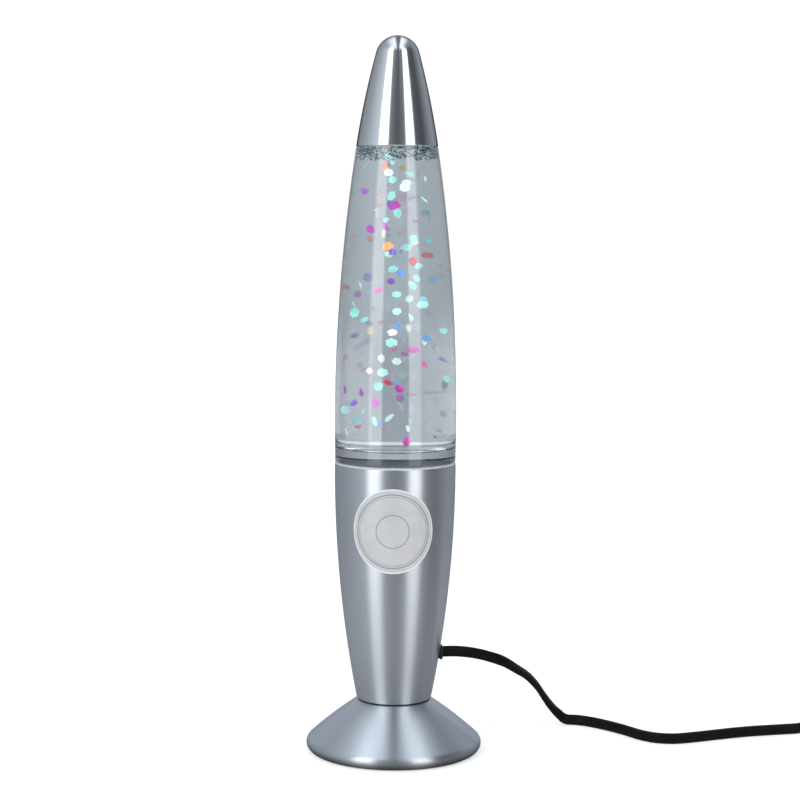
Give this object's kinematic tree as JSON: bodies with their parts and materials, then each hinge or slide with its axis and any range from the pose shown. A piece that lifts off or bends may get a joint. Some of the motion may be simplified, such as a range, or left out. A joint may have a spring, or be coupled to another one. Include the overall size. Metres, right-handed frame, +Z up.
{
  "type": "glitter lamp",
  "caption": "Rocket-shaped glitter lamp: glass bottle of liquid and glitter between a pointed metal cap and a turned metal shell on a flared foot, with flex, rocker switch and plug.",
  "frame": {"origin": "on the surface the lamp stands on, under the centre of its foot", "axes": "+Z up along the lamp's axis, -Y towards the label at the front, +X to the side the flex leaves from"},
  "size_m": [0.3636, 0.1237, 0.3399],
  "materials": {
    "foot_metal": "satin, turned",
    "shell_metal": "satin, turned",
    "cap_metal": "polished, turned",
    "felt": "felt",
    "ballast": "rough cast",
    "zinc_steel": "zinc plated",
    "brass": "bright",
    "black_rubber": "matte",
    "silicone": "translucent",
    "label_film": "satin film with plain grey rings",
    "bakelite": "moulded",
    "lead_insulation": "smooth",
    "bulb_glass": "silvered sides, frosted crown",
    "bulb_cap_metal": "bright",
    "black_glass": "vitrified",
    "solder": "dull",
    "stem_glass": "clear",
    "tungsten": "drawn wire",
    "bottle_glass": "clear",
    "liquid": "clear, faintly blue",
    "glitter_film": "iridescent film",
    "white_plastic": "moulded",
    "flex_pvc": "soft gloss",
    "tie_strap": "woven strap",
    "switch_plastic": "fine spark texture",
    "rocker_plastic": "smooth",
    "plug_pvc": "moulded",
    "pin_metal": "nickel plated"
  },
  "bodies": {
    "base": {"foot_skirt": "foot_metal", "foot_pad": "felt", "foot_weight": "ballast", "foot_nut": "brass", "lock_washer": "zinc_steel", "neck_ring": "black_rubber", "lamp_shell": "shell_metal", "shell_nut": "brass", "threaded_tube": "zinc_steel", "cord_bush": "black_rubber", "label": "label_film", "rest_ring": "silicone", "holder_cap": "bakelite", "holder_body": "bakelite", "holder_ring": "bakelite", "screw_shell": "brass", "centre_contact": "brass", "terminal_screws": "brass", "inner_leads": "lead_insulation", "cord_run": "flex_pvc", "cord_link": "flex_pvc", "cord_coil": "flex_pvc", "cord_tail": "flex_pvc", "coil_tie": "tie_strap", "switch_lower": "switch_plastic", "switch_upper": "switch_plastic", "switch_terminals": "brass", "switch_screws": "zinc_steel", "plug_body": "plug_pvc", "plug_relief": "plug_pvc", "plug_pins": "pin_metal", "pin_sleeves": "plug_pvc"},
    "bulb": {"bulb_glass": "bulb_glass", "bulb_shell": "bulb_cap_metal", "bulb_insulator": "black_glass", "bulb_tip": "solder", "bulb_stem": "stem_glass", "bulb_filament": "tungsten"},
    "bottle": {"bottle": "bottle_glass", "liquid": "liquid", "glitter": "glitter_film", "bottle_closure": "white_plastic", "closure_seal": "white_plastic"},
    "cap": {"cap": "cap_metal", "cap_liner": "white_plastic"},
    "rocker": {"rocker": "rocker_plastic"},
    "contact_arm": {"contact_arm": "brass"}
  },
  "joints": [
    {"name": "bulb_unscrew", "type": "slide", "parent": "base", "child": "bulb", "axis": [0, 0, 1], "range_m": [0, 0.01]},
    {"name": "bottle_lift", "type": "slide", "parent": "base", "child": "bottle", "axis": [0, 0, 1], "range_m": [0, 0.06]},
    {"name": "cap_lift", "type": "slide", "parent": "bottle", "child": "cap", "axis": [0, 0, 1], "range_m": [0, 0.06]},
    {"name": "rocker_tilt", "type": "hinge", "parent": "base", "child": "rocker", "pos_m": [0.242, 0.0345, 0.0104], "axis": [0, 1, 0], "range_deg": [0, 16]},
    {"name": "contact_tilt", "type": "hinge", "parent": "base", "child": "contact_arm", "pos_m": [0.242, 0.0345, 0.0044], "axis": [0, 1, 0], "range_deg": [-12, 0]}
  ],
  "couplings": [
    {"joint": "contact_tilt", "follows": "rocker_tilt", "ratio": -0.75}
  ]
}
